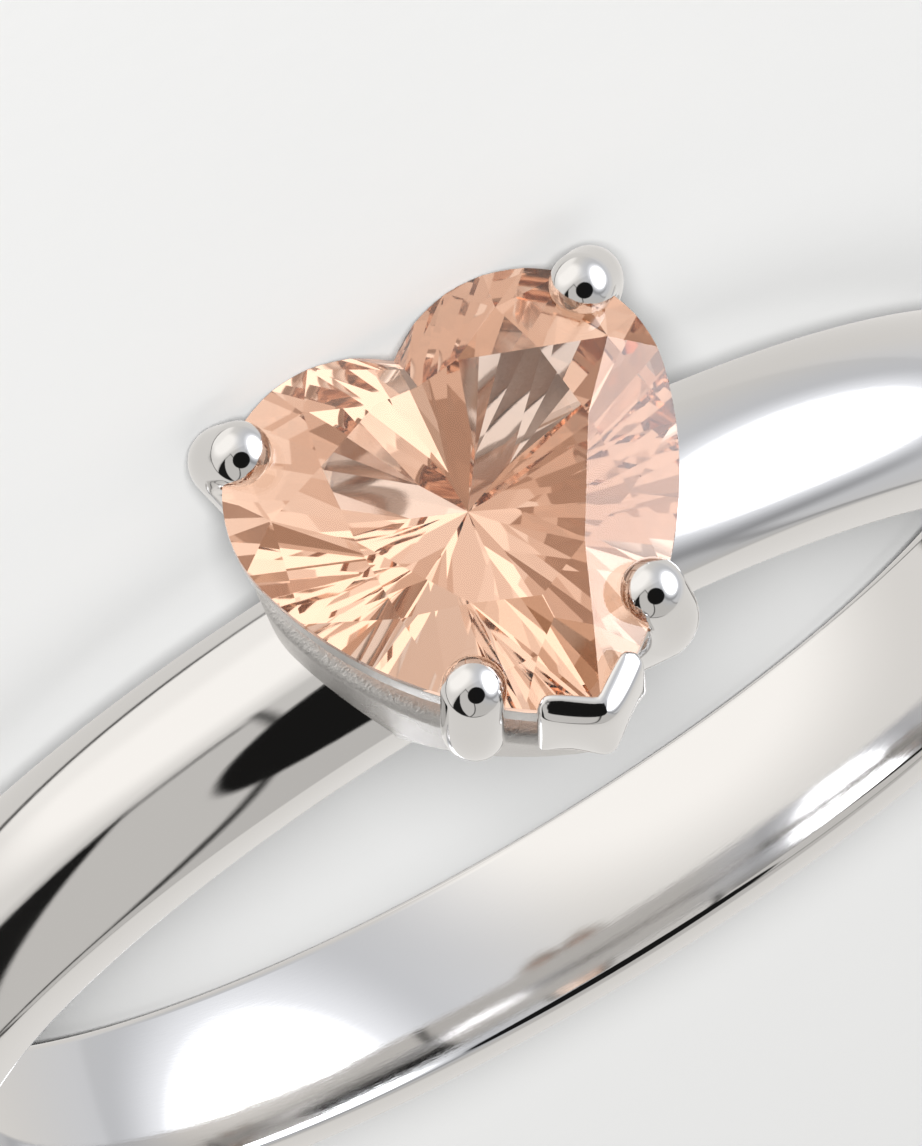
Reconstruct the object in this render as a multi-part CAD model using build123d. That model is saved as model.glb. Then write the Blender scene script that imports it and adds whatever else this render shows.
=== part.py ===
from build123d import *
import math
import os

# Heart ring: a domed band with a heart-cut stone in four round prongs and a V-shaped prong.
# Lengths are in millimetres. The ring is drawn with the middle of its hoop at the origin, the head
# up along Z, the finger along Y with the cleft of the heart on the +Y side, and is then laid down.

# Band
finger_diameter = 17.3
band_width = 2.46
head_thickness = 1.66
back_thickness = 1.46
side_wall = 0.92
bore_edge_bevel = 0.13

# Stone outline: two lobe arcs, and two long arcs that meet at the tip. The shares are of its width:
# the spacing of the lobes' centres, and the tip's distance from the line through them.
stone_width = 6.0
lobe_spacing_share = 0.4
tip_share = 0.6633
join_azimuth = -14.5
stone_clearance = 0.03

# Stone depth
girdle_above_finger = 5.2
stone_offset = 0.56
girdle_thickness = 0.16
crown_height = 0.72
pavilion_depth = 2.52
culet_back = 0.5

# How far the star facets run down from the table, as a share of the crown's height, and how far the
# narrow facets below the girdle run down, as a share of the pavilion's depth
star_fade = 0.35
lower_half_reach = 0.78

# Main facets of the right half, from the cleft to the tip.
# azimuth: direction in degrees that the facet faces, seen from above
# angle: slope of the crown facet in degrees
# slide: shift of its table corner along the facet, as a share of the stone's width
# pull: shift of its table corner towards the middle, as a share of the stone's width
MAIN_FACETS = (
    # azimuth, angle, slide, pull
    (96.0, 36.0, 0.088, 0.0),
    (45.0, 29.7, 0.0, 0.0),
    (-22.0, 32.9, 0.0, 0.0),
    (-44.5, 34.4, 0.0, 0.0),
    (-90.0, 27.6, 0.0, 0.019),
)
# How many small facets run along the girdle from one main facet to the next,
# the first entry being the stretch from the cleft to the first main facet.
GIRDLE_FACETS = (2, 3, 4, 2, 2)

# Gallery rail that the stone sits in, just under the girdle
rail_drop = 0.12
rail_depth = 0.62
rail_width = 0.42
rail_proud = 0.06
rail_draft = 0.14

# Collar, a tapered heart-shaped wall that stands on the band between the shoulders. Its size is
# given as shares of the stone's outline.
collar_foot_share = 0.86
collar_top_share = 0.92
collar_wall_share = 0.15
collar_top = 2.75
collar_underside = 0.65
collar_skirt_angle = 38.0

# Round prongs. Insets and outsets are measured from the girdle's edge.
prong_diameter = 0.82
prong_tip_diameter = 0.85
prong_foot_diameter = 0.5
prong_tip_height = 0.4
prong_tip_inset = 0.09
prong_bend_depth = 0.5
prong_bend_outset = 0.1
prong_foot_inset = 0.62
# Where the prongs of the right half stand on the girdle, in degrees; the left half has the same
PRONG_AZIMUTHS = (40.0, -47.7)

# V-shaped prong over the tip
v_arm = 0.79
v_wall = 0.27
v_lap = 0.07
v_height = 0.37
v_depth = 0.75
v_round = 0.12
v_foot_share = 0.5
v_foot_inset = 0.95

finger_radius = finger_diameter / 2
lobe_offset = lobe_spacing_share * stone_width / 2
lobe_radius = stone_width / 2 - lobe_offset

# Side of the blocks that cut the facets, larger than the stone
cutter = 40.0


def direction(azimuth):
    """Unit vector in the plane of the girdle."""
    turn = math.radians(azimuth)
    return Vector(math.cos(turn), math.sin(turn), 0)


# Long side arc: it leaves the lobe arc without a corner and ends on the middle line at the tip
join_direction = direction(join_azimuth)
lobe_centre = Vector(lobe_offset, 0, 0)
join_point = lobe_centre + join_direction * lobe_radius
tip_point = Vector(0, -tip_share * stone_width, 0)
to_tip = tip_point - join_point
side_radius = -to_tip.dot(to_tip) / (2 * join_direction.dot(to_tip))
side_centre = join_point - join_direction * side_radius
tip_azimuth = math.degrees(math.atan2(tip_point.Y - side_centre.Y, tip_point.X - side_centre.X))
cleft_azimuth = 180 - math.degrees(math.acos(lobe_offset / lobe_radius))


def outline_point(azimuth, grow=0.0):
    """Point of the right half of the girdle where it faces the azimuth."""
    if azimuth >= join_azimuth:
        return lobe_centre + direction(azimuth) * (lobe_radius + grow)
    azimuth = max(azimuth, tip_azimuth)
    return side_centre + direction(azimuth) * (side_radius + grow)


def half_heart(grow=0.0):
    """Face of the right half of the heart, grown by the same amount all round."""
    lobe = lobe_radius + grow
    side = side_radius + grow
    cleft = Vector(0, math.sqrt(lobe**2 - lobe_offset**2), 0)
    tip = Vector(0, side_centre.Y - math.sqrt(side**2 - side_centre.X**2), 0)
    join = lobe_centre + join_direction * lobe
    last = math.degrees(math.atan2(tip.Y - side_centre.Y, tip.X - side_centre.X))
    side_middle = side_centre + direction((join_azimuth + last) / 2) * side
    edges = [
        Line(tip, cleft),
        ThreePointArc(cleft, lobe_centre + direction(45) * lobe, join),
        ThreePointArc(join, side_middle, tip),
    ]
    return make_face(edges)


def facing_out(point, normal):
    """A cutting plane as a point and a unit normal that faces away from the middle of the half."""
    normal = normal.normalized()
    if normal.dot(point - lobe_centre) < 0:
        normal = -normal
    return point, normal


def through(a, b, c):
    """The cutting plane through three points."""
    return facing_out(a, (b - a).cross(c - a))


def meet(first, second, third):
    """The point where three planes meet."""
    (p, a), (q, b), (r, c) = first, second, third
    volume = a.dot(b.cross(c))
    return (b.cross(c) * p.dot(a) + c.cross(a) * q.dot(b) + a.cross(b) * r.dot(c)) * (1 / volume)


def level(height):
    return Vector(0, 0, height), Vector(0, 0, 1)


middle_plane = (Vector(0, 0, 0), Vector(1, 0, 0))
girdle_top = girdle_thickness / 2
table_height = girdle_top + crown_height
culet = Vector(0, -culet_back, -girdle_top - pavilion_depth)


def fan(apex, first_azimuth, last_azimuth, count, height):
    """Narrow facets from one apex to even steps along the edge of the girdle."""
    step = (last_azimuth - first_azimuth) / count
    rim = [outline_point(first_azimuth + step * i) + Vector(0, 0, height) for i in range(count + 1)]
    return [through(apex, rim[i], rim[i + 1]) for i in range(count)]


def crown_planes():
    """Main facets, star facets and the narrow facets above the girdle of the right half."""
    mains, corners = [], []
    for azimuth, angle, slide, pull in MAIN_FACETS:
        outward = direction(azimuth)
        slope = math.radians(angle)
        rim = outline_point(azimuth) + Vector(0, 0, girdle_top)
        mains.append((rim, outward * math.sin(slope) + Vector(0, 0, math.cos(slope))))
        inset = crown_height / math.tan(slope) + pull * stone_width
        corner = rim - outward * inset + direction(azimuth + 90) * slide * stone_width
        corners.append(Vector(corner.X, corner.Y, table_height))
    fade_level = level(table_height - star_fade * crown_height)
    apexes = [meet(mains[0], middle_plane, fade_level)]
    apexes += [meet(here, there, fade_level) for here, there in zip(mains, mains[1:])]
    stars = [through(corners[i], corners[i + 1], apexes[i + 1]) for i in range(len(mains) - 1)]
    planes = [level(table_height)] + mains + stars
    starts = [cleft_azimuth] + [row[0] for row in MAIN_FACETS]
    for i, apex in enumerate(apexes):
        planes += fan(apex, starts[i], max(starts[i + 1], tip_azimuth), GIRDLE_FACETS[i], girdle_top)
    return planes


def pavilion_planes():
    """Main facets from the point below the stone, and the narrow facets below the girdle."""
    mains = []
    for azimuth, *_ in MAIN_FACETS:
        rim = outline_point(azimuth) - Vector(0, 0, girdle_top)
        mains.append(facing_out(rim, direction(azimuth + 90).cross(rim - culet)))
    reach = level(-girdle_top - pavilion_depth * lower_half_reach)
    apexes = [meet(mains[0], middle_plane, reach)]
    apexes += [meet(here, there, reach) for here, there in zip(mains, mains[1:])]
    planes = list(mains)
    starts = [cleft_azimuth] + [row[0] for row in MAIN_FACETS]
    for i, apex in enumerate(apexes):
        planes += fan(apex, starts[i], max(starts[i + 1], tip_azimuth), GIRDLE_FACETS[i], -girdle_top)
    return planes


def heart_stone(grow=0.0):
    """The faceted heart, with its girdle at height 0, grown by the same amount all round."""
    rough_depth = 2 * (pavilion_depth + girdle_thickness)
    half = Pos(0, 0, -rough_depth) * extrude(half_heart(grow), 2 * rough_depth)
    for point, normal in crown_planes() + pavilion_planes():
        beyond = Plane(origin=point + normal * grow, z_dir=normal) * Pos(0, 0, cutter / 2)
        half -= beyond * Box(cutter, cutter, cutter)
    return half + mirror(half, about=Plane.YZ)


# Where the stone sits in the ring
girdle_height = finger_radius + girdle_above_finger
stone_seat = Pos(0, stone_offset, girdle_height)

# The outside of the band is turned about a line a little nearer the head than the bore's own axis
band_shift = (head_thickness - back_thickness) / 2
outer_radius = finger_radius + (head_thickness + back_thickness) / 2
shoulder_radius = finger_radius + side_wall
band_top = outer_radius + band_shift


def both_sides(half):
    """A half on the +X side and its mirror image as one solid."""
    return half + mirror(half, about=Plane.YZ)


def bore():
    return Rot(90, 0, 0) * Cylinder(finger_radius, 2 * band_width)


def band():
    """Domed outside, flat sides and a round bore with bevelled edges."""
    half_width = band_width / 2
    near, far = (0, -half_width, shoulder_radius), (0, half_width, shoulder_radius)
    dome = ThreePointArc(near, (0, 0, outer_radius), far)
    inside = Polyline(far, (0, half_width, 0), (0, -half_width, 0), near)
    hoop = Pos(0, 0, band_shift) * revolve(make_face([dome, inside]), Axis.Y) - bore()
    rims = hoop.edges().filter_by(GeomType.CIRCLE)
    rims = [rim for rim in rims if abs(rim.radius - finger_radius) < bore_edge_bevel / 2]
    return chamfer(rims, bore_edge_bevel)


def gallery_rail():
    """Heart-shaped rail, a little proud of the girdle and drawn in towards its lower edge."""
    top, bottom = -rail_drop, -rail_drop - rail_depth
    lower, upper = half_heart(rail_proud - rail_draft), half_heart(rail_proud)
    outside = loft([Pos(0, 0, bottom) * lower, Pos(0, 0, top) * upper])
    opening = Pos(0, 0, bottom - rail_depth) * extrude(half_heart(rail_proud - rail_width), 3 * rail_depth)
    return stone_seat * both_sides(outside - opening)


def collar():
    """Tapered heart-shaped wall over the band, cut off underneath so that it rises from the band's sides."""
    foot, top = finger_radius + collar_underside, finger_radius + collar_top

    def cup(foot_share, top_share):
        rough = [
            Pos(0, 0, foot) * scale(half_heart(), by=foot_share),
            Pos(0, 0, top) * scale(half_heart(), by=top_share),
        ]
        return Pos(0, stone_offset, 0) * both_sides(loft(rough, ruled=True))

    wall = cup(collar_foot_share, collar_top_share)
    wall -= cup(collar_foot_share - collar_wall_share, collar_top_share - collar_wall_share)
    near, far = band_width / 2, 2 * band_width
    skirt = foot + (far - near) * math.tan(math.radians(collar_skirt_angle))
    lower_edge = [(0, -far, skirt), (0, -near, foot), (0, near, foot), (0, far, skirt)]
    kept = make_face(Polyline(*lower_edge, (0, 0, skirt + far), close=True))
    return wall & extrude(kept, stone_width, both=True)


def prong(azimuth):
    """Round wire that rises from the collar, bends in over the crown and has a rounded end."""
    outward = direction(azimuth)
    rim = outline_point(azimuth)
    tip = rim - outward * prong_tip_inset + Vector(0, 0, prong_tip_height)
    bend = rim + outward * prong_bend_outset - Vector(0, 0, prong_bend_depth)
    foot = rim - outward * prong_foot_inset + Vector(0, 0, band_top - girdle_height)
    rise = bend - foot
    leg = Cone(prong_foot_diameter / 2, prong_diameter / 2, rise.length)
    leg = Plane(origin=foot, z_dir=rise) * Pos(0, 0, rise.length / 2) * leg
    arc = TangentArc(bend, tip, tangent=rise)
    hook = sweep(Plane(origin=bend, z_dir=rise) * Circle(prong_diameter / 2), arc)
    end = Plane(origin=tip, z_dir=arc % 1) * Sphere(prong_tip_diameter / 2)
    return stone_seat * (leg + hook + end)


def v_shape(share=1.0):
    """Face of the V seen from above: two straight arms that follow the edges beside the tip."""
    along = direction(tip_azimuth + 90)
    outward = direction(tip_azimuth)
    inner = Vector(0, -v_lap / outward.Y, 0)
    outer = Vector(0, v_wall / outward.Y, 0)
    right = [along * v_arm - outward * v_lap, along * v_arm + outward * v_wall]
    left = [Vector(-p.X, p.Y, 0) for p in reversed(right)]
    corners = [p * share for p in [inner, *right, outer, *left]]
    return make_face(Polyline(*corners, close=True))


def v_prong():
    """V-shaped plate over the tip that narrows on its way down to the collar."""
    plate = Pos(0, 0, -v_depth) * extrude(v_shape(), v_depth + v_height)
    top_edges = plate.faces().sort_by(Axis.Z)[-1].edges()
    corner = plate.edges().filter_by(Axis.Z).sort_by(Axis.Y)[0]
    plate = fillet([*top_edges, corner], v_round)
    foot = Vector(0, v_foot_inset, band_top - girdle_height)
    stem = loft([Pos(*foot) * v_shape(v_foot_share), Pos(0, 0, -v_depth) * v_shape()], ruled=True)
    return stone_seat * Pos(*tip_point) * (plate + stem)


def band_and_setting():
    """All the metal as one soldered solid, with the seat for the stone cut out of it."""
    metal = band() + [gallery_rail(), collar(), v_prong()]
    for azimuth in PRONG_AZIMUTHS:
        wire = prong(azimuth)
        metal = metal + wire + mirror(wire, about=Plane.YZ)
    metal -= stone_seat * heart_stone(stone_clearance)
    return metal - bore()


# The ring lies on its side with the tip of the heart up. The head is wider than the band, so the
# rail under the lobes and the far side of the hoop touch the surface, and the ring leans a little.
rail_reach = stone_offset + lobe_radius + rail_proud
rail_level = girdle_height - rail_drop
far_level = shoulder_radius - band_shift
lean = math.degrees(math.atan2(rail_reach - band_width / 2, rail_level + far_level))
lying_down = Rot(-lean, 0, 0) * Rot(90, 0, 0) * Rot(0, 0, 180)

os.makedirs("parts", exist_ok=True)
export_step(lying_down * band_and_setting(), "parts/band_and_setting.step")
export_step(lying_down * (stone_seat * heart_stone()), "parts/heart_stone.step")
print(f"lean {lean:.2f} degrees, girdle {girdle_height:.2f} mm from the middle of the hoop")
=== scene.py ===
# %% [markdown]
# # A heart ring, lying on its side
# The ring is a plain domed band with a faceted peach stone, cut as a heart. Four round prongs and
# one V-shaped prong hold the stone over a heart-shaped rail and a tapered collar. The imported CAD
# model comes first. It fixes every size and place. The stone's own facets are exact, so the stone
# stays as it is and only gets a material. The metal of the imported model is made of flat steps,
# which a mirror finish would show, so this lesson models it again with smooth surfaces.

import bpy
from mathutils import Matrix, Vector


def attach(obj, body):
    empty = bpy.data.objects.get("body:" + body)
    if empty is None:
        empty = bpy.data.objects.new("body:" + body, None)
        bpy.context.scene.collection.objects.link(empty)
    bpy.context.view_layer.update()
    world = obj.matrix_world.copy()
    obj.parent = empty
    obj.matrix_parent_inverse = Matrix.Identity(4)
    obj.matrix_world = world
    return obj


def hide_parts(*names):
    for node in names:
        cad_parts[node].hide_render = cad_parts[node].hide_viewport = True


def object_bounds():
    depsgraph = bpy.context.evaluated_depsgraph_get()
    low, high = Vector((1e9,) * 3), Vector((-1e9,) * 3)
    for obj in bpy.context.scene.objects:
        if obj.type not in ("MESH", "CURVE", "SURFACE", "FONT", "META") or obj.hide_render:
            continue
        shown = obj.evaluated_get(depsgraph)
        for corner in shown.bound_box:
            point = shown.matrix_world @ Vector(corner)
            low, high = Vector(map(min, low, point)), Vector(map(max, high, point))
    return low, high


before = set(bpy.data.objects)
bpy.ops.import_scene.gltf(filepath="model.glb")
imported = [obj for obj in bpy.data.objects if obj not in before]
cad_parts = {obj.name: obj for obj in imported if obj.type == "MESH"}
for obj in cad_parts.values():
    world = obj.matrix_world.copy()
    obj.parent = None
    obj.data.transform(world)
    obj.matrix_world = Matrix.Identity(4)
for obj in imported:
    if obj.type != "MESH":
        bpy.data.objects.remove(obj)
cad_low, cad_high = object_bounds()
MILLIMETRE = 0.001


def in_millimetres(*corners):
    """The corners of a box in metres, as one list of rounded millimetres to print."""
    return [round(length / MILLIMETRE, 3) for corner in corners for length in corner]


print("CAD box in mm:", in_millimetres(cad_low, cad_high))

# %% Libraries
import math

import bmesh
import bpy
from mathutils import Matrix, Vector

print("Blender", bpy.app.version_string)

# %% [markdown]
# ## Drawing in millimetres
# A ring is small, and Blender's bevel and merge tools stop being exact below a tenth of a
# millimetre when one unit is a metre. Each piece is therefore drawn with one unit as a
# millimetre, in the place where a goldsmith would see it: the hoop's middle at the origin, the
# head up along Z and the finger along Y. When a piece is finished, one helper lays it down on its
# side, scales it to metres, and applies both, so its object sits at the origin and its place is
# in its mesh. The ring leans a little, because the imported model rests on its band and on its
# head.

# %% Lay a finished piece down
lean = math.radians(2.936)
lying_down = (
    Matrix.Rotation(-lean, 4, "X")
    @ Matrix.Rotation(math.radians(90), 4, "X")
    @ Matrix.Rotation(math.pi, 4, "Z")
)
to_metres = Matrix.Scale(MILLIMETRE, 4)
MIDDLE = (0, 0, 0)


def deselect_all():
    """Leave edit mode and select nothing, so that an operator acts on the new piece alone."""
    if bpy.context.object and bpy.context.object.mode != "OBJECT":
        bpy.ops.object.mode_set(mode="OBJECT")
    bpy.ops.object.select_all(action="DESELECT")


def only(piece):
    """Make one piece the only selected and active object."""
    deselect_all()
    piece.select_set(True)
    bpy.context.view_layer.objects.active = piece


def apply_place():
    """Put the place, turn and scale of the selected piece into its mesh."""
    bpy.ops.object.transform_apply(location=True, rotation=True, scale=True)


def lay_down(piece, seat=Vector(MIDDLE)):
    """Move a piece to its seat in the ring and lay it on its side, in metres."""
    only(piece)
    piece.matrix_world = to_metres @ lying_down @ Matrix.Translation(seat) @ piece.matrix_world
    apply_place()


print("the ring lies on its side and leans by", round(math.degrees(lean), 3), "degrees")

# %% Work on whole pieces
def apply_modifier(piece, name, kind, **settings):
    """Give a piece a modifier, set it, and make its result the piece's own mesh."""
    only(piece)
    modifier = piece.modifiers.new(name, kind)
    for setting, value in settings.items():
        setattr(modifier, setting, value)
    bpy.ops.object.modifier_apply(modifier=modifier.name)


def discard(piece):
    """Delete a piece that only served to make others."""
    only(piece)
    bpy.ops.object.delete()


def count(piece):
    """Print how many points and triangles a piece has."""
    triangles = sum(len(face.vertices) - 2 for face in piece.data.polygons)
    print(f"{piece.name}: {len(piece.data.vertices)} points, {triangles} triangles")


print("helpers for whole pieces ready")

# %% [markdown]
# ## Picking parts of a mesh
# By hand you would click on faces and edges. In a script they are picked by where they are or by
# the way that they face. One helper goes through the mesh being edited and selects what passes a
# test. Places that should be one can differ by a rounding error, so a test for a place allows a
# thousandth of a millimetre, and a test for where a region ends allows a hundredth.

# %% Pick by place
SAME_PLACE, NEAR_PLACE, MERGE_BELOW, CUT_WITHIN = 0.001, 0.01, 0.0005, 0.00001
SHARP_ABOVE, SMOOTH_BELOW = math.radians(40), math.radians(35)
SELECT_MODES = {"verts": "VERT", "edges": "EDGE", "faces": "FACE"}


def pick_all():
    """Select the whole mesh."""
    bpy.ops.mesh.select_all(action="SELECT")


def pick_nothing():
    """Select no part of the mesh."""
    bpy.ops.mesh.select_all(action="DESELECT")


def pick(kind, test):
    """Select the verts, edges or faces that pass the test, and nothing else."""
    bpy.ops.mesh.select_mode(type=SELECT_MODES[kind])
    pick_nothing()
    mesh = bmesh.from_edit_mesh(bpy.context.object.data)
    found = [item for item in getattr(mesh, kind) if test(item)]
    for item in found:
        item.select_set(True)
    mesh.select_flush_mode()
    bmesh.update_edit_mesh(bpy.context.object.data)
    return len(found)


def at_height(edge, height):
    """True where both ends of an edge lie at one height."""
    return all(abs(v.co.z - height) < SAME_PLACE for v in edge.verts)


print("places within", SAME_PLACE, "mm count as one")

# %% Clean and smooth a mesh
def move_copy(by):
    """Extrude what is selected, and move the new part by a vector."""
    bpy.ops.mesh.extrude_region_move(TRANSFORM_OT_translate={"value": by})


def clean_shell():
    """Merge points that lie on each other and turn all faces outwards."""
    pick_all()
    bpy.ops.mesh.remove_doubles(threshold=MERGE_BELOW)
    bpy.ops.mesh.normals_make_consistent(inside=False)


def smooth(piece):
    """Shade a piece as smooth, except across its sharper edges."""
    only(piece)
    bpy.ops.object.shade_smooth_by_angle(angle=SMOOTH_BELOW)


print("edges stay sharp above", round(math.degrees(SMOOTH_BELOW)), "degrees")

# %% [markdown]
# ## The band
# The band is a domed wire, 2.46 mm wide, bent round a 17.3 mm finger hole. A goldsmith pulls such
# a wire through a D-shaped hole before bending it. Here its section comes from a filled circle
# with the dome's radius: three cuts leave a dome on top, two straight sides and a flat inside.
# Spinning the section about the finger gives the hoop. The dome is then lifted a little on the
# head's side, since the real band is thicker there than at its back.

# %% Measures of the band
finger_radius = 8.65
band_width = 2.46
head_thickness, back_thickness = 1.66, 1.46
side_wall = 0.92
outer_radius = finger_radius + (head_thickness + back_thickness) / 2
shoulder_radius = finger_radius + side_wall
band_shift = (head_thickness - back_thickness) / 2
band_top = outer_radius + band_shift
half_width = band_width / 2
dome_rise = outer_radius - shoulder_radius
dome_radius = (half_width**2 + dome_rise**2) / (2 * dome_rise)
print("dome radius", round(dome_radius, 3), "mm, band top at", round(band_top, 3), "mm")

# %% The band's section
DOME_POINTS = 120
section_middle = (0, 0, outer_radius - dome_radius)
deselect_all()
bpy.ops.mesh.primitive_circle_add(
    vertices=DOME_POINTS, radius=dome_radius, fill_type="NGON",
    location=section_middle, rotation=(0, math.radians(90), 0),
)
band = bpy.context.object
band.name = "band"
apply_place()
bpy.ops.object.mode_set(mode="EDIT")
for point, normal in (
    ((0, half_width, 0), (0, 1, 0)),
    ((0, -half_width, 0), (0, -1, 0)),
    ((0, 0, finger_radius), (0, 0, -1)),
):
    pick_all()
    bpy.ops.mesh.bisect(plane_co=point, plane_no=normal, clear_outer=True, threshold=CUT_WITHIN)
print("the section is", band_width, "mm wide")

# %% Break the section's corners
bore_edge_bevel, dome_edge_bevel = 0.13, 0.035
BEVEL_STEPS = 3


def on_side(vert):
    """True for a point on one of the band's straight sides."""
    return abs(abs(vert.co.y) - half_width) < SAME_PLACE


found = pick("verts", lambda v: on_side(v) and v.co.z < finger_radius + SAME_PLACE)
bpy.ops.mesh.bevel(offset=bore_edge_bevel, segments=BEVEL_STEPS, affect="VERTICES")
found += pick("verts", lambda v: on_side(v) and v.co.z > shoulder_radius - NEAR_PLACE)
bpy.ops.mesh.bevel(offset=dome_edge_bevel, segments=BEVEL_STEPS, affect="VERTICES")
print(found, "corners broken")

# %% Spin the hoop
HOOP_STEPS = 288
pick_all()
bpy.ops.mesh.delete(type="ONLY_FACE")
pick_all()
bpy.ops.mesh.spin(steps=HOOP_STEPS, angle=2 * math.pi, center=MIDDLE, axis=(0, 1, 0))
clean_shell()
pick("verts", lambda v: math.hypot(v.co.x, v.co.z) > finger_radius + side_wall / 2)
bpy.ops.transform.translate(value=(0, 0, band_shift))
smooth(band)
count(band)

# %% [markdown]
# ## The outline of the heart
# The stone's girdle is made of four arcs: two lobes, and two long sides that run without a corner
# from the lobes to the tip. Rail, collar and stone all share this line. It is drawn as by hand: a
# single point at the cleft is spun about the centre of each arc in turn, until it is back where
# it started.

# %% Measures of the heart
stone_width = 6.0
LOBE_SHARE, TIP_SHARE = 0.4, 0.6633
lobe_offset = LOBE_SHARE * stone_width / 2
lobe_radius = stone_width / 2 - lobe_offset
tip_distance = TIP_SHARE * stone_width
join_azimuth = math.radians(-14.5)


def direction(azimuth):
    """Unit vector in the plane of the girdle."""
    return Vector((math.cos(azimuth), math.sin(azimuth), 0))


lobe_centre = Vector((lobe_offset, 0, 0))
tip_point = Vector((0, -tip_distance, 0))
join_point = lobe_centre + direction(join_azimuth) * lobe_radius
to_tip = tip_point - join_point
side_radius = -to_tip.dot(to_tip) / (2 * direction(join_azimuth).dot(to_tip))
side_centre = join_point - direction(join_azimuth) * side_radius
print("lobe radius", round(lobe_radius, 3), "mm, side radius", round(side_radius, 3), "mm")

# %% Start a mesh from points
SEED = 0.1


def start_empty(name):
    """A new piece with an empty mesh, open for editing."""
    deselect_all()
    bpy.ops.mesh.primitive_plane_add(size=1)
    piece = bpy.context.object
    piece.name = name
    bpy.ops.object.mode_set(mode="EDIT")
    bpy.ops.mesh.delete(type="VERT")
    return piece


def add_point(place):
    """Add a single point to the mesh being edited: a small plane merged at its centre."""
    bpy.ops.mesh.select_mode(type="VERT")
    pick_nothing()
    bpy.ops.mesh.primitive_plane_add(size=SEED, location=place)
    bpy.ops.mesh.merge(type="CENTER")


print("a point starts as a plane of", SEED, "mm")

# %% Draw one heart
LOBE_STEPS, SIDE_STEPS = 44, 26


def draw_heart(grow, height):
    """Draw the heart's outline, grown by the same amount all round, at a height."""
    lobe, side = lobe_radius + grow, side_radius + grow
    cleft_azimuth = math.pi - math.acos(lobe_offset / lobe)
    tip_azimuth = math.atan2(-math.sqrt(side**2 - side_centre.x**2), -side_centre.x)
    lobe_turn, side_turn = cleft_azimuth - join_azimuth, join_azimuth - tip_azimuth
    add_point((0, math.sqrt(lobe**2 - lobe_offset**2), height))
    for centre, angle, steps in (
        ((lobe_offset, 0, height), lobe_turn, LOBE_STEPS),
        ((side_centre.x, side_centre.y, height), side_turn, SIDE_STEPS),
        ((-side_centre.x, side_centre.y, height), side_turn, SIDE_STEPS),
        ((-lobe_offset, 0, height), lobe_turn, LOBE_STEPS),
    ):
        bpy.ops.mesh.spin(steps=steps, angle=angle, center=centre, axis=(0, 0, 1))
    pick("verts", lambda v: abs(v.co.z - height) < SAME_PLACE)
    bpy.ops.mesh.remove_doubles(threshold=MERGE_BELOW)


print("one heart has", 2 * (LOBE_STEPS + SIDE_STEPS), "points")

# %% [markdown]
# ## The gallery rail
# Just under the girdle runs a rail, the ledge that the stone rests on. It is cut from sheet,
# soldered on, and its outside is filed down towards the lower edge. Two outlines are bridged for
# that drafted outside, the upper one is filled and inset for the flat top, and its middle is
# pushed down for the opening.

# %% Build the rail
head_rise, stone_offset = 5.2, 0.56
girdle_height = finger_radius + head_rise
stone_seat = Vector((0, stone_offset, girdle_height))
rail_drop, rail_depth, rail_width = 0.12, 0.62, 0.42
rail_proud, rail_draft, rail_round = -0.01, 0.06, 0.05

rail = start_empty("gallery_rail")
draw_heart(rail_proud, -rail_drop)
draw_heart(rail_proud - rail_draft, -rail_drop - rail_depth)
pick_all()
bpy.ops.mesh.bridge_edge_loops()
pick("edges", lambda e: at_height(e, -rail_drop))
bpy.ops.mesh.edge_face_add()
pick("faces", lambda f: len(f.verts) > 4)
bpy.ops.mesh.inset(thickness=rail_width)
move_copy((0, 0, -rail_depth))
bpy.ops.mesh.delete(type="ONLY_FACE")
pick("edges", lambda e: at_height(e, -rail_drop - rail_depth))
bpy.ops.mesh.bridge_edge_loops()
clean_shell()
bpy.ops.mesh.select_mode(type="EDGE")
pick_nothing()
bpy.ops.mesh.edges_select_sharp(sharpness=SHARP_ABOVE)
bpy.ops.mesh.bevel(offset=rail_round, segments=BEVEL_STEPS)
deselect_all()
count(rail)

# %% [markdown]
# ## The collar
# Between the shoulders stands a tapered heart-shaped wall that joins the head to the band. It is
# the same outline again, smaller, narrower at the foot than at the top. A copy of the wall,
# shrunk a little, becomes its inside. Two slanting cuts take away what would hang out under the
# lobes and the tip, so that the wall rises from the band's sides as the real one does. Its top is
# rounded over, because a flat ledge there would mirror the stone as a bright stripe.

# %% Bridge the collar's wall
foot_rise, top_rise = 0.65, 2.75
collar_foot, collar_top = finger_radius + foot_rise, finger_radius + top_rise
foot_share, top_share, inner_share = 0.86, 0.92, 0.83

collar = start_empty("collar")
for height, share in ((collar_foot, foot_share), (collar_top, top_share)):
    draw_heart(0, height)
    bpy.ops.transform.resize(value=(share, share, 1), center_override=MIDDLE)
pick_all()
bpy.ops.mesh.bridge_edge_loops()
pick_all()
bpy.ops.mesh.duplicate()
bpy.ops.transform.resize(value=(inner_share, inner_share, 1), center_override=MIDDLE)
for height in (collar_foot, collar_top):
    pick("edges", lambda e: at_height(e, height))
    bpy.ops.mesh.bridge_edge_loops()
clean_shell()
print("the collar stands from", round(collar_foot, 2), "to", round(collar_top, 2), "mm")

# %% Cut and round the collar
skirt_angle = math.radians(38)
collar_round, COLLAR_STEPS = 0.2, 6

for side in (1, -1):
    pick_all()
    bpy.ops.mesh.bisect(
        plane_co=(0, side * half_width - stone_offset, collar_foot),
        plane_no=(0, -side * math.sin(skirt_angle), math.cos(skirt_angle)),
        clear_inner=True, use_fill=True, threshold=CUT_WITHIN,
    )
clean_shell()
pick("edges", lambda e: at_height(e, collar_top) and e.calc_face_angle(0) > SHARP_ABOVE)
bpy.ops.mesh.bevel(offset=collar_round, segments=COLLAR_STEPS)
deselect_all()
count(collar)

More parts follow.
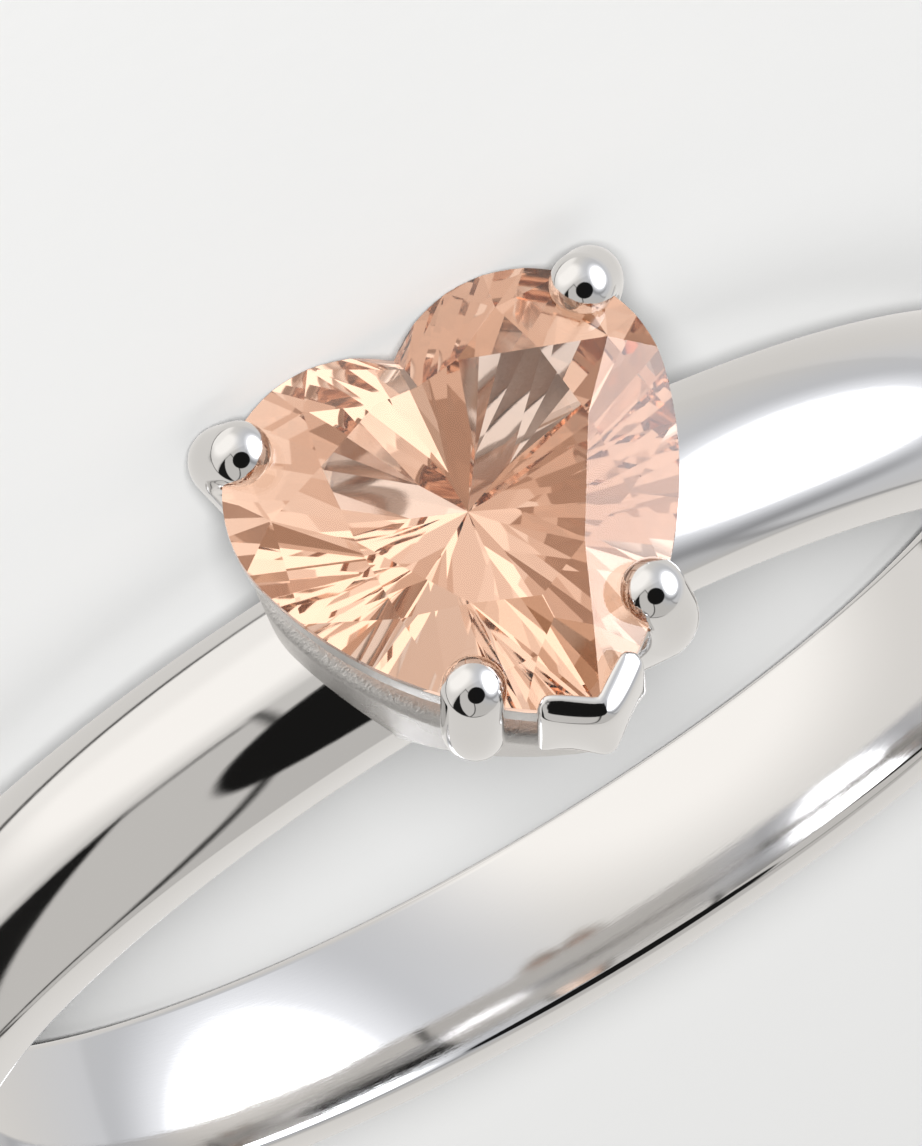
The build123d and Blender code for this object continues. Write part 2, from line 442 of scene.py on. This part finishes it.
# %% [markdown]
# ## The round prongs
# Each prong is a round wire that rises from the collar, leaning outwards, bends in over the
# stone's edge and ends in a bead, which the setter rounds last with a cupped burr. One circle
# makes it all: it is drawn down to the foot and made smaller there, spun through the bend, drawn
# on to the tip, and closed by rings that shrink as on a half ball. The two prongs on the lobes
# reach further over the stone than the two on the sides. Each kind is drawn once, with the
# girdle's edge at the origin, and copied to its two places. Prongs are set by hand, so the two on
# the lobes don't stand quite alike.

# %% Close a wire with a bead
prong_radius, bead_radius, prong_foot_radius = 0.41, 0.425, 0.25
BEAD_STEPS, POLE_SHARE = 12, 0.001


def draw_on(move):
    """Extrude the selected ring along a vector."""
    bpy.ops.mesh.extrude_edges_move(TRANSFORM_OT_translate={"value": move})


def grow_ring(share, middle):
    """Scale the selected ring about its middle."""
    bpy.ops.transform.resize(value=(share, share, share), center_override=middle)


def close_with_bead(middle, onward):
    """Close the selected ring with rings that shrink as on a half ball."""
    turns = [math.radians(90 * step / BEAD_STEPS) for step in range(BEAD_STEPS + 1)]
    for before, now in zip(turns, turns[1:]):
        draw_on(onward * bead_radius * (math.sin(now) - math.sin(before)))
        share = max(math.cos(now), POLE_SHARE) / math.cos(before)
        grow_ring(share, middle + onward * bead_radius * math.sin(now))
    bpy.ops.mesh.merge(type="CENTER")


print("a bead is", 2 * bead_radius, "mm across")

# %% Draw one prong
prong_foot_inset = 0.62
foot = Vector((-prong_foot_inset, 0, band_top - girdle_height))
WIRE_POINTS, BEND_STEPS = 40, 12


def draw_prong(corner, tip, bend_radius):
    """Draw a prong that rises to the corner, rounds it, and has its bead's middle at the tip."""
    rise, onward = (corner - foot).normalized(), (tip - corner).normalized()
    inward = Vector((-rise.z, 0, rise.x))
    bend_angle = rise.angle(onward)
    reach = bend_radius * math.tan(bend_angle / 2)
    bend, bent = corner - rise * reach, corner + onward * reach
    deselect_all()
    bpy.ops.mesh.primitive_circle_add(
        vertices=WIRE_POINTS, radius=prong_radius,
        location=bend, rotation=(0, math.atan2(rise.x, rise.z), 0),
    )
    prong = bpy.context.object
    apply_place()
    bpy.ops.object.mode_set(mode="EDIT")
    pick_all()
    draw_on(foot - bend)
    grow_ring(prong_foot_radius / prong_radius, foot)
    bpy.ops.mesh.edge_face_add()
    pick("verts", lambda v: abs((v.co - bend).dot(rise)) < SAME_PLACE)
    bend_centre = bend + inward * bend_radius
    bpy.ops.mesh.spin(steps=BEND_STEPS, angle=bend_angle, center=bend_centre, axis=(0, 1, 0))
    draw_on(tip - bent)
    grow_ring(bead_radius / prong_radius, tip)
    close_with_bead(tip, onward)
    clean_shell()
    deselect_all()
    print("a prong bends by", round(math.degrees(bend_angle), 1), "degrees")
    return prong


print("a prong stands on a foot of", 2 * prong_foot_radius, "mm")

# %% Draw the two kinds
side_prong = draw_prong(
    corner=Vector((0.17, 0, -0.6)), tip=Vector((-0.08, 0, 0.38)), bend_radius=2.2,
)
lobe_prong = draw_prong(
    corner=Vector((0.17, 0, -0.1)), tip=Vector((-0.16, 0, 0.36)), bend_radius=0.7,
)

# %% Copy them to their four places
# Name: the prong to copy, its azimuth about the arc's centre in degrees, and its side.
PRONG_PLACES = {
    "prong_lobe_right": (lobe_prong, 35.5, 1), "prong_side_right": (side_prong, -47.7, 1),
    "prong_lobe_left": (lobe_prong, 45.5, -1), "prong_side_left": (side_prong, -47.7, -1),
}


def on_the_rim(azimuth):
    """The place on the right half of the girdle that faces an azimuth."""
    if azimuth > join_azimuth:
        return lobe_centre + direction(azimuth) * lobe_radius
    return side_centre + direction(azimuth) * side_radius


prongs = []
for name, (model, degrees, side) in PRONG_PLACES.items():
    azimuth = math.radians(degrees)
    rim = on_the_rim(azimuth)
    turn = azimuth if side > 0 else math.pi - azimuth
    only(model)
    bpy.ops.object.duplicate()
    prong = bpy.context.object
    prong.name = name
    bpy.ops.transform.rotate(value=-turn, orient_axis="Z", center_override=MIDDLE)
    bpy.ops.transform.translate(value=(side * rim.x, rim.y, 0))
    apply_place()
    prongs.append(prong)
    print(name, "stands at", [round(c, 2) for c in (side * rim.x, rim.y)])
for model in (side_prong, lobe_prong):
    discard(model)

# %% [markdown]
# ## The V prong
# The tip of a heart chips easily, so a folded plate covers it. Seen from above it is a V that
# follows the two edges beside the tip, and its top slopes outwards as the stone's facets do. The
# outline is drawn point by point, filled, pushed down for the plate and drawn in below that for
# its stem. The inner corners of the top are lifted and the outer ones lowered for the slope.
# Years of polishing make such a plate look like a pillow: its edges are chamfered, and a
# Subdivision Surface rounds the rest.

# %% Measures of the V
v_arm, v_wall, v_lap = 0.82, 0.3, 0.09
v_height, v_depth, v_slope = 0.4, 1.15, 0.09
v_foot_share, v_foot_inset, v_foot_lift = 0.5, 0.95, 0.15
v_arm_angle = math.radians(35)
along, outward = direction(v_arm_angle), direction(v_arm_angle - math.radians(90))
right = [along * v_arm - outward * v_lap, along * v_arm + outward * v_wall]
left = [Vector((-p.x, p.y, 0)) for p in reversed(right)]
inner_corner = Vector((0, -v_lap / outward.y, 0))
outer_corner = Vector((0, v_wall / outward.y, 0))
stem_foot = Vector((0, v_foot_inset, band_top + v_foot_lift - girdle_height))
print("the V is", round(2 * right[1].x, 2), "mm wide")

# %% Draw the V
corners = [inner_corner, *right, outer_corner, *left]
lifted, lowered = (inner_corner, right[0], left[1]), (outer_corner, right[1], left[0])


def stands_at(vert, places):
    """True for a point at the top of the plate that stands over one of the places."""
    return vert.co.z > 0 and any((vert.co.xy - p.xy).length < SAME_PLACE for p in places)


v_prong = start_empty("v_prong")
add_point(corners[0] + Vector((0, 0, v_height)))
for here, there in zip(corners, corners[1:]):
    move_copy(there - here)
pick_all()
bpy.ops.mesh.edge_face_add()
pick("verts", lambda v: stands_at(v, (inner_corner, outer_corner)))
bpy.ops.mesh.vert_connect()
pick_all()
move_copy((0, 0, -v_height - v_depth))
move_copy(stem_foot + Vector((0, 0, v_depth)))
bpy.ops.transform.resize(value=(v_foot_share, v_foot_share, 1), center_override=stem_foot)
clean_shell()
for places, lift in ((lifted, v_slope), (lowered, -v_slope)):
    pick("verts", lambda v: stands_at(v, places))
    bpy.ops.transform.translate(value=(0, 0, lift))
print("V prong before rounding:", len(v_prong.data.vertices), "points")

# %% Name the V's edges
LONG_EDGE, WALL_TILT, FOLD_FRONT = 0.5, 0.3, -0.12


def upright(edge, places):
    """True for an edge of the plate that runs down from one of the places."""
    a, b = (v.co for v in edge.verts)
    straight_down = abs(a.z - b.z) > LONG_EDGE and (a.xy - b.xy).length < SAME_PLACE
    return straight_down and any(stands_at(v, places) for v in edge.verts)


def rims_the_top(edge):
    """True for an edge between the top of the plate and its walls."""
    beside_wall = any(abs(f.normal.z) < WALL_TILT for f in edge.link_faces)
    return beside_wall and all(v.co.z > 0 for v in edge.verts)


def folds_inwards(edge):
    """True for an edge of the plate along the fold, except on its outside."""
    points = [v.co for v in edge.verts]
    on_fold = all(abs(p.x) < SAME_PLACE and p.z > -v_depth - NEAR_PLACE for p in points)
    return on_fold and max(p.y for p in points) > FOLD_FRONT


print("the fold's inside lies behind", FOLD_FRONT, "mm")

# %% Chamfer its edges
tip_round, end_round, v_round = 0.28, 0.17, 0.13
CHAMFER_STEPS, FOOT_CREASE, FOLD_CREASE = 2, 1, 0.7

for places, size in (((outer_corner,), tip_round), ((*right, *left), end_round)):
    found = pick("edges", lambda e: upright(e, places))
    bpy.ops.mesh.bevel(offset=size, segments=CHAMFER_STEPS)
    print(found, "upright edges chamfered by", size, "mm")
found = pick("edges", rims_the_top)
bpy.ops.mesh.bevel(offset=v_round, segments=CHAMFER_STEPS)
print(found, "edges chamfered round the top")
pick("edges", lambda e: at_height(e, stem_foot.z))
bpy.ops.transform.edge_crease(value=FOOT_CREASE)
pick("edges", folds_inwards)
bpy.ops.transform.edge_crease(value=FOLD_CREASE)
deselect_all()

# %% Round the plate
PLATE_LEVELS = 3
apply_modifier(v_prong, "pillow", "SUBSURF", levels=PLATE_LEVELS, render_levels=PLATE_LEVELS)
v_prong.matrix_world = Matrix.Translation(tip_point)
apply_place()
count(v_prong)

# %% [markdown]
# ## Room for the stone
# A setter cuts a seat into rail and prongs, so that they grip the girdle. Here the stone itself
# is the cutter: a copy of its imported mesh, merged and grown by three hundredths of a millimetre,
# is subtracted from every piece that it touches. That hair-thin gap keeps stone and metal apart.
# The copy is a hundredth taller still, so that the seat is clear over and under the girdle.

# %% The stone as a cutter
gap, EXTRA_HEIGHT = 0.03, 1.01
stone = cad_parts["heart_stone"]
only(stone)
bpy.ops.object.duplicate()
cutter = bpy.context.object
cutter.name = "stone_cutter"
cutter.parent = None
cutter.matrix_world = (to_metres @ lying_down @ Matrix.Translation(stone_seat)).inverted()
apply_place()
bpy.ops.object.mode_set(mode="EDIT")
clean_shell()
deselect_all()
grow = 1 + gap / (stone_width / 2)
cutter.scale = (grow, grow, grow * EXTRA_HEIGHT)
only(cutter)
apply_place()
print("cutter in mm:", [round(c, 3) for c in cutter.dimensions])

# %% Cut the seat
for piece in (rail, v_prong, *prongs):
    apply_modifier(
        piece, "seat", "BOOLEAN", operation="DIFFERENCE", object=cutter, solver="MANIFOLD",
    )
    smooth(piece)
    count(piece)
smooth(collar)
discard(cutter)

# %% Lay every piece down
lay_down(band)
lay_down(collar, Vector((0, stone_offset, 0)))
for piece in (rail, v_prong, *prongs):
    lay_down(piece, stone_seat)
metal_pieces = [band, collar, rail, v_prong, *prongs]
for piece in metal_pieces:
    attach(piece, "root")
    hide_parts("band_and_setting")
print(len(metal_pieces), "metal pieces")

# %% [markdown]
# ## Building materials
# A material is a small network of nodes. One function adds a node, sets its options, and fills
# its inputs with numbers or with the output of another node. Colours are written as the hex
# values that a colour picker shows, and one function turns them to the linear values that light
# is reckoned in. Patterns are scaled by how many of their features there are to a millimetre.

# %% Helpers for materials
PER_MILLIMETRE = 1000.0


def linear(hex_colour):
    """An sRGB hex colour as a linear RGBA value."""
    parts = [int(hex_colour[i : i + 2], 16) / 255 for i in (1, 3, 5)]
    return [c / 12.92 if c <= 0.04045 else ((c + 0.055) / 1.055) ** 2.4 for c in parts] + [1.0]


def add_node(tree, kind, inputs=None, **options):
    """Add a node, set its options, and fill its inputs with values or other nodes' outputs."""
    node = tree.nodes.new(kind)
    for name, value in options.items():
        setattr(node, name, value)
    for name, value in (inputs or {}).items():
        if isinstance(value, bpy.types.NodeSocket):
            tree.links.new(value, node.inputs[name])
        else:
            node.inputs[name].default_value = value
    return node


def new_material(name):
    """An empty material, its nodes, and the output node that its surface goes to."""
    material = bpy.data.materials.new(name)
    material.use_nodes = True
    material.node_tree.nodes.clear()
    return material, material.node_tree, add_node(material.node_tree, "ShaderNodeOutputMaterial")


def dress(piece, material):
    """Give a piece one material."""
    piece.data.materials.clear()
    piece.data.materials.append(material)


print("#808080 is", round(linear("#808080")[0], 3), "in linear light")

# %% [markdown]
# ## White gold, plated with rhodium
# Rhodium is the cool, very bright metal that white gold rings are plated with. Buffing with rouge
# leaves a mirror with faint hairlines, drawn round the hoop, and the plating is a little less
# sharp in some places than in others. Large, faint noise varies the roughness, and fine noise
# gives hairline scratches as bump. Real hairlines are a few thousandths of a millimetre wide;
# these are drawn about ten times as coarse, so that they show at all. A buff doesn't reach under
# the stone. Rail and collar keep the marks of the file there: the same metal, rougher, with
# coarser and deeper marks that run in no one direction.

# %% Make the metal's two finishes
def worked_metal(name, colour, roughness, mark_depth, marks_per_mm, stretch):
    """White metal with faint haze, and with marks that are drawn out along an axis."""
    material, tree, output = new_material(name)
    place = add_node(tree, "ShaderNodeTexCoord").outputs["Object"]
    haze = add_node(tree, "ShaderNodeTexNoise", {
        "Vector": place, "Scale": 0.45 * PER_MILLIMETRE, "Detail": 3.0,
    })
    rough = add_node(tree, "ShaderNodeMapRange", {
        "Value": haze.outputs["Fac"], "From Min": 0.35, "From Max": 0.7,
        "To Min": roughness[0], "To Max": roughness[1],
    })
    drawn_out = add_node(tree, "ShaderNodeMapping", {"Vector": place, "Scale": stretch})
    marks = add_node(tree, "ShaderNodeTexNoise", {
        "Vector": drawn_out.outputs["Vector"], "Scale": marks_per_mm * PER_MILLIMETRE,
        "Detail": 4.0, "Roughness": 0.7,
    })
    bump = add_node(tree, "ShaderNodeBump", {
        "Height": marks.outputs["Fac"], "Strength": 1.0, "Distance": mark_depth * MILLIMETRE,
    })
    shader = add_node(tree, "ShaderNodeBsdfPrincipled", {
        "Base Color": linear(colour), "Metallic": 1.0, "Roughness": rough.outputs["Result"],
        "Normal": bump.outputs["Normal"],
    })
    tree.links.new(shader.outputs["BSDF"], output.inputs["Surface"])
    return material


mirror_polish = worked_metal(
    "rhodium_mirror_polish", "#DAD9D8", roughness=(0.03, 0.08),
    mark_depth=0.0003, marks_per_mm=5.0, stretch=(0.6, 0.6, 6.0),
)
filed_gallery = worked_metal(
    "rhodium_filed_gallery", "#D2D0CE", roughness=(0.22, 0.4),
    mark_depth=0.022, marks_per_mm=13.0, stretch=(1.0, 1.0, 1.6),
)
for piece in metal_pieces:
    dress(piece, filed_gallery if piece in (rail, collar) else mirror_polish)
print("metal finishes:", mirror_polish.name, filed_gallery.name)

# %% [markdown]
# ## The peach stone
# Morganite is a beryl: clear, with an index of refraction near 1.58, and a pale peach to pink
# colour that comes from its whole depth, not from its surface. The light is bent and thrown back
# inside, so the colour is deepest where its path is longest. That is what an absorbing volume
# gives: the surface is nearly clear glass with a trace of tint, and the colour grows with every
# millimetre of the way through.

# %% Make the peach stone
body_tint, absorb_colour, absorb_per_mm = "#FBEDE4", "#F7B55A", 0.1
material, tree, output = new_material("peach_morganite_faceted")
place = add_node(tree, "ShaderNodeTexCoord").outputs["Object"]
polish = add_node(tree, "ShaderNodeTexNoise", {
    "Vector": place, "Scale": 1.2 * PER_MILLIMETRE, "Detail": 2.0,
})
rough = add_node(tree, "ShaderNodeMapRange", {
    "Value": polish.outputs["Fac"], "From Min": 0.35, "From Max": 0.75,
    "To Min": 0.01, "To Max": 0.04,
})
shader = add_node(tree, "ShaderNodeBsdfPrincipled", {
    "Base Color": linear(body_tint), "Roughness": rough.outputs["Result"],
    "IOR": 1.58, "Transmission Weight": 1.0,
})
depth = add_node(tree, "ShaderNodeVolumeAbsorption", {
    "Color": linear(absorb_colour), "Density": absorb_per_mm * PER_MILLIMETRE,
})
tree.links.new(shader.outputs["BSDF"], output.inputs["Surface"])
tree.links.new(depth.outputs["Volume"], output.inputs["Volume"])
dress(stone, material)
print("stone material:", material.name)

# %% [markdown]
# ## Floor and backdrop
# The ring lies on a sheet of matt white acrylic. From the camera's place the sheet fills the
# whole picture, so it is also the backdrop. The ring's shadow on the sheet would turn the metal
# and the stone dark from below. In mirrors and through the stone the lower half of the tent
# stands in for the sheet.

# %% Lay the floor
floor_radius, FLOOR_POINTS = 1.5, 96
deselect_all()
bpy.ops.mesh.primitive_circle_add(
    vertices=FLOOR_POINTS, radius=floor_radius, fill_type="NGON", location=(0, 0, cad_low.z),
)
floor = bpy.context.object
floor.name = "floor"
apply_place()
floor.visible_glossy = floor.visible_transmission = False
print("floor at", round(cad_low.z / MILLIMETRE, 3), "mm")

# %% Make the matt acrylic
material, tree, output = new_material("matt_white_acrylic")
place = add_node(tree, "ShaderNodeTexCoord").outputs["Object"]
cloud = add_node(tree, "ShaderNodeTexNoise", {"Vector": place, "Scale": 14.0, "Detail": 2.0})
tone = add_node(tree, "ShaderNodeMix", {
    "Factor": cloud.outputs["Fac"], 6: linear("#EEEEED"), 7: linear("#F1F1F0"),
}, data_type="RGBA")
haze = add_node(tree, "ShaderNodeMapRange", {
    "Value": cloud.outputs["Fac"], "To Min": 0.5, "To Max": 0.65,
})
grain = add_node(tree, "ShaderNodeTexNoise", {"Vector": place, "Scale": 2 * PER_MILLIMETRE})
bump = add_node(tree, "ShaderNodeBump", {
    "Height": grain.outputs["Fac"], "Strength": 1.0, "Distance": 0.002 * MILLIMETRE,
})
shader = add_node(tree, "ShaderNodeBsdfPrincipled", {
    "Base Color": tone.outputs[2], "Roughness": haze.outputs["Result"],
    "Normal": bump.outputs["Normal"], "Specular IOR Level": 0.1,
})
tree.links.new(shader.outputs["BSDF"], output.inputs["Surface"])
dress(floor, material)
print("floor material:", material.name)

# %% [markdown]
# ## A white tent of light
# Polished metal has no look of its own: it shows what stands around it. Jewellery is photographed
# in a white tent with a few openings, and the dark streaks on the metal are those openings. The
# world stands for the tent. Its shapes are drawn with two kinds of helper: one makes a mask,
# which is 1 inside a shape and 0 outside it, and the other lays a brightness over the tent so far
# where a mask says so. A direction is an azimuth and an elevation in degrees, and azimuth 0 is
# the camera's side.

# %% Start the tent
world = bpy.data.worlds.new("light_tent")
bpy.context.scene.world = world
world.use_nodes = True
sky = world.node_tree
sky.nodes.clear()
gaze = add_node(sky, "ShaderNodeTexCoord").outputs["Generated"]


def facing(azimuth, elevation):
    """Unit vectors to the right, ahead and up for someone who looks that way."""
    about, raised = math.radians(180 + azimuth), math.radians(elevation)
    turn = Matrix.Rotation(about, 3, "Z") @ Matrix.Rotation(raised, 3, "X")
    return turn.col[0], turn.col[1], turn.col[2]


def along_axis(axis):
    """How far the gaze goes along an axis."""
    dot = add_node(sky, "ShaderNodeVectorMath", {0: gaze, 1: axis}, operation="DOT_PRODUCT")
    return dot.outputs["Value"]


def fade(value, low, high, at_low, at_high):
    """A soft step: at_low below the low value, and at_high above the high one."""
    return add_node(sky, "ShaderNodeMapRange", {
        "Value": value, "From Min": low, "From Max": high, "To Min": at_low, "To Max": at_high,
    }, interpolation_type="SMOOTHSTEP").outputs["Result"]


print("tent started")

# %% Masks
def near(toward, start, end):
    """A mask about a direction. It rises while the cosine from there goes from start to end."""
    return fade(along_axis(facing(*toward)[1]), start, end, 0.0, 1.0)


def both(one, other):
    """The part that two masks share."""
    product = add_node(sky, "ShaderNodeMath", {0: one, 1: other}, operation="MULTIPLY")
    return product.outputs["Value"]


def above(start, end, edge=1.5):
    """A mask of all above the line to a larger azimuth, or of all below it the other way."""
    normal = facing(*start)[1].cross(facing(*end)[1]).normalized()
    soft = math.sin(math.radians(edge))
    return fade(along_axis(normal), -soft, soft, 0.0, 1.0)


print("masks ready")

# %% Shapes over the tent
def lay_over(before, mask, brightness):
    """Show a brightness where the mask is 1, and what was there before elsewhere."""
    mixed = add_node(sky, "ShaderNodeMix", {0: mask, 2: before, 3: brightness}, data_type="FLOAT")
    return mixed.outputs[0]


def round_patch(before, toward, radius, brightness, edge=3.0):
    """A disc over the tent so far. Its radius and soft edge are in degrees."""
    start, end = (math.cos(math.radians(radius + a)) for a in (edge / 2, -edge / 2))
    return lay_over(before, near(toward, start, end), brightness)


def oval(before, toward, wide, tall, brightness, edge):
    """An oval over the tent so far. Its half sizes and soft edge are in degrees."""
    side, _, up = facing(*toward)
    sideways = along_axis(side / math.sin(math.radians(wide)))
    upwards = along_axis(up / math.sin(math.radians(tall)))
    flat = add_node(sky, "ShaderNodeCombineXYZ", {"X": sideways, "Y": upwards}).outputs["Vector"]
    away = add_node(sky, "ShaderNodeVectorMath", {0: flat}, operation="LENGTH").outputs["Value"]
    soft = edge / (wide + tall)
    inside = fade(away, 1 - soft, 1 + soft, 1.0, 0.0)
    return lay_over(before, both(inside, near(toward, 0.0, 0.1)), brightness)


print("shapes ready")

# %% [markdown]
# The tent's cloth is a pale grey, with a thin dark seam round each side of it and one narrow
# fold, and the table under it is lighter. A strong soft lamp, in a grey frame, stands on one
# side, and weaker light comes from low down on the other. Between them are the dark round of the
# lens above the camera, and a wedge where the tent's door stands open. Behind the ring is a pale
# round of cloth with a dark rim. It gives the wires their even pale sides, and its rim draws the
# outline of each bead. What comes later lies over what came before.

# %% Cloth and table
LEFT_SIDE, RIGHT_SIDE = (-87, 12), (88, 8)
upward, across = along_axis(Vector((0, 0, 1))), along_axis(Vector((1, 0, 0)))
tent = fade(upward, low=0.2, high=0.95, at_low=0.76, at_high=0.66)
tent = round_patch(tent, LEFT_SIDE, radius=51, brightness=0.4, edge=5)
tent = round_patch(tent, LEFT_SIDE, radius=48, brightness=0.78, edge=5)
tent = round_patch(tent, (88, 8.8), radius=57.2, brightness=0.06)
tent = round_patch(tent, RIGHT_SIDE, radius=55, brightness=0.72)
fold = both(above((36, 2.5), (58, 3)), above((58, 5.5), (36, 5)))
tent = lay_over(tent, both(fold, near((48, 4), 0.96, 0.98)), brightness=0.3)
table = fade(across, low=-0.9, high=0.1, at_low=0.76, at_high=0.95)
tent = lay_over(tent, fade(upward, low=-0.05, high=0.06, at_low=1.0, at_high=0.0), table)
print("cloth and table hang, with", len(sky.nodes), "nodes")

# %% Lamps
LAMP = (-62, 14)
tent = oval(tent, (-60, 30), wide=36, tall=37, brightness=0.4, edge=8)
tent = oval(tent, LAMP, wide=34, tall=39, brightness=1.5, edge=16)
tent = oval(tent, LAMP, wide=26, tall=30, brightness=6.0, edge=12)
tent = oval(tent, (38, -41), wide=42, tall=33, brightness=1.32, edge=20)
tent = round_patch(tent, (100, -78), radius=28, brightness=1.2, edge=16)
print("lamp at azimuth and elevation", LAMP)

# %% Door, round cloth and lens
LENS, CAMERA = (12, 42), (7.25, 17.76)
BEHIND = (CAMERA[0] - 180, -CAMERA[1])
door = both(above((50, 3), (95, 4)), above((95, 26), (56, 3)))
tent = lay_over(tent, both(door, near(RIGHT_SIDE, 0.5, 0.7)), brightness=0.015)
rim = fade(across, low=-0.2, high=0.3, at_low=0.85, at_high=0.1)
tent = round_patch(tent, BEHIND, radius=69, brightness=rim)
tent = round_patch(tent, BEHIND, radius=65.5, brightness=0.86)
tent = round_patch(tent, LENS, radius=29.5, brightness=0.012)
print(len(sky.nodes), "nodes in the tent")

# %% [markdown]
# Light that comes back out of the stone has been split into many small facets. Seen there, the
# tent's deepest blacks and brightest lamp would look like cracks and holes, so for rays that have
# passed through the stone both are drawn closer to the cloth. A real stone's dark facets glow in
# its own colour, from light that wanders about inside for longer than a render follows it. The
# darker tones are therefore tinted peach as well. Outside the stone, the cloth is a little warm
# and the lamp a little cool, as in the photograph.

# %% Soften the tent for the stone
DARKEST, LIGHTEST, UNTINTED_ABOVE = 0.42, 1.7, 1.1
passes = add_node(sky, "ShaderNodeLightPath").outputs["Transmission Depth"]
through_glass = add_node(
    sky, "ShaderNodeMath", {0: passes, 1: 0.5}, operation="GREATER_THAN",
).outputs["Value"]
lifted_darks = add_node(sky, "ShaderNodeMath", {0: tent, 1: DARKEST}, operation="MAXIMUM")
soft = add_node(
    sky, "ShaderNodeMath", {0: lifted_darks.outputs["Value"], 1: LIGHTEST}, operation="MINIMUM",
).outputs["Value"]
seen = lay_over(tent, through_glass, soft)
print("through the stone the tent goes from", DARKEST, "to", LIGHTEST)

# %% Tint the tent
def blend(factor, one, other):
    """A colour between two others."""
    inputs = {"Factor": factor, 6: one, 7: other}
    return add_node(sky, "ShaderNodeMix", inputs, data_type="RGBA").outputs[2]


cloth = blend(near(LAMP, 0.2, 0.8), linear("#FFFCF8"), linear("#F8FAFF"))
tinted = fade(soft, DARKEST, UNTINTED_ABOVE, 0.0, 1.0)
glowing = blend(tinted, linear("#FFDDC2"), linear("#FFFFFF"))
colour = blend(through_glass, cloth, glowing)
glow = add_node(sky, "ShaderNodeBackground", {"Color": colour, "Strength": seen})
add_node(sky, "ShaderNodeOutputWorld", {"Surface": glow.outputs["Background"]})
world.cycles_visibility.diffuse = False
print(len(sky.nodes), "nodes in the finished tent")

# %% [markdown]
# ## Table lamps
# The tent lights the metal and the stone. Two lamps light the table: a ring of light about the
# lens, whose shadow hides behind the ring, and a wide one overhead.

# %% Hang the table lamps
def table_lamp(name, place, size, watts):
    """A round lamp that faces the ring and lights only matt surfaces."""
    deselect_all()
    bpy.ops.object.light_add(type="AREA", location=place)
    lamp = bpy.context.object
    lamp.name = name
    lamp.data.shape, lamp.data.size, lamp.data.energy = "DISK", size, watts
    aim = Vector(place).to_track_quat("Z", "Y").to_matrix().to_4x4()
    lamp.matrix_world = Matrix.Translation(place) @ aim
    lamp.visible_camera = lamp.visible_glossy = lamp.visible_transmission = False
    print(name, "stands", round(Vector(place).length, 2), "m away")


lens_distance = 1.3
table_lamp("lens_light", facing(*CAMERA)[1] * lens_distance, size=0.24, watts=46.5)
table_lamp("overhead_light", (0.0, 0.1, 0.9), size=1.2, watts=1.4)

# %% [markdown]
# ## The camera
# The photograph was taken with a long lens, close to the ring and a little above it, with the
# camera rolled well over, so that the tip of the heart points down and to the right in the
# picture.

# %% Set up the camera
camera_place = Vector((21.932, -181.174, 55.718)) * MILLIMETRE
camera_right = Vector((-0.86927, 0.04832, 0.49197))
camera_up = Vector((-0.47951, -0.32433, -0.81541))
camera_back = Vector((0.12016, -0.94471, 0.30509))
deselect_all()
bpy.ops.object.camera_add(location=camera_place)
camera = bpy.context.object
turned = Matrix((camera_right, camera_up, camera_back)).transposed().to_4x4()
camera.matrix_world = Matrix.Translation(camera_place) @ turned
camera.data.sensor_width, camera.data.lens = 36.0, 439.3
camera.data.clip_start, camera.data.clip_end = 0.01, 10.0
bpy.context.scene.camera = camera
print("camera", round(camera_place.length / MILLIMETRE), "mm from the middle of the hoop")

# %% [markdown]
# Light bounces many times inside a faceted stone, so it is followed for longer than usual. What
# the ring would throw onto the sheet as bright curls is left out, because the photograph shows
# none.

# %% Follow the light
scene = bpy.context.scene
scene.view_settings.view_transform = "Standard"
scene.cycles.max_bounces = 16
scene.cycles.glossy_bounces = 12
scene.cycles.transmission_bounces = 8
scene.cycles.caustics_reflective = False
print("light is followed for", scene.cycles.max_bounces, "bounces")
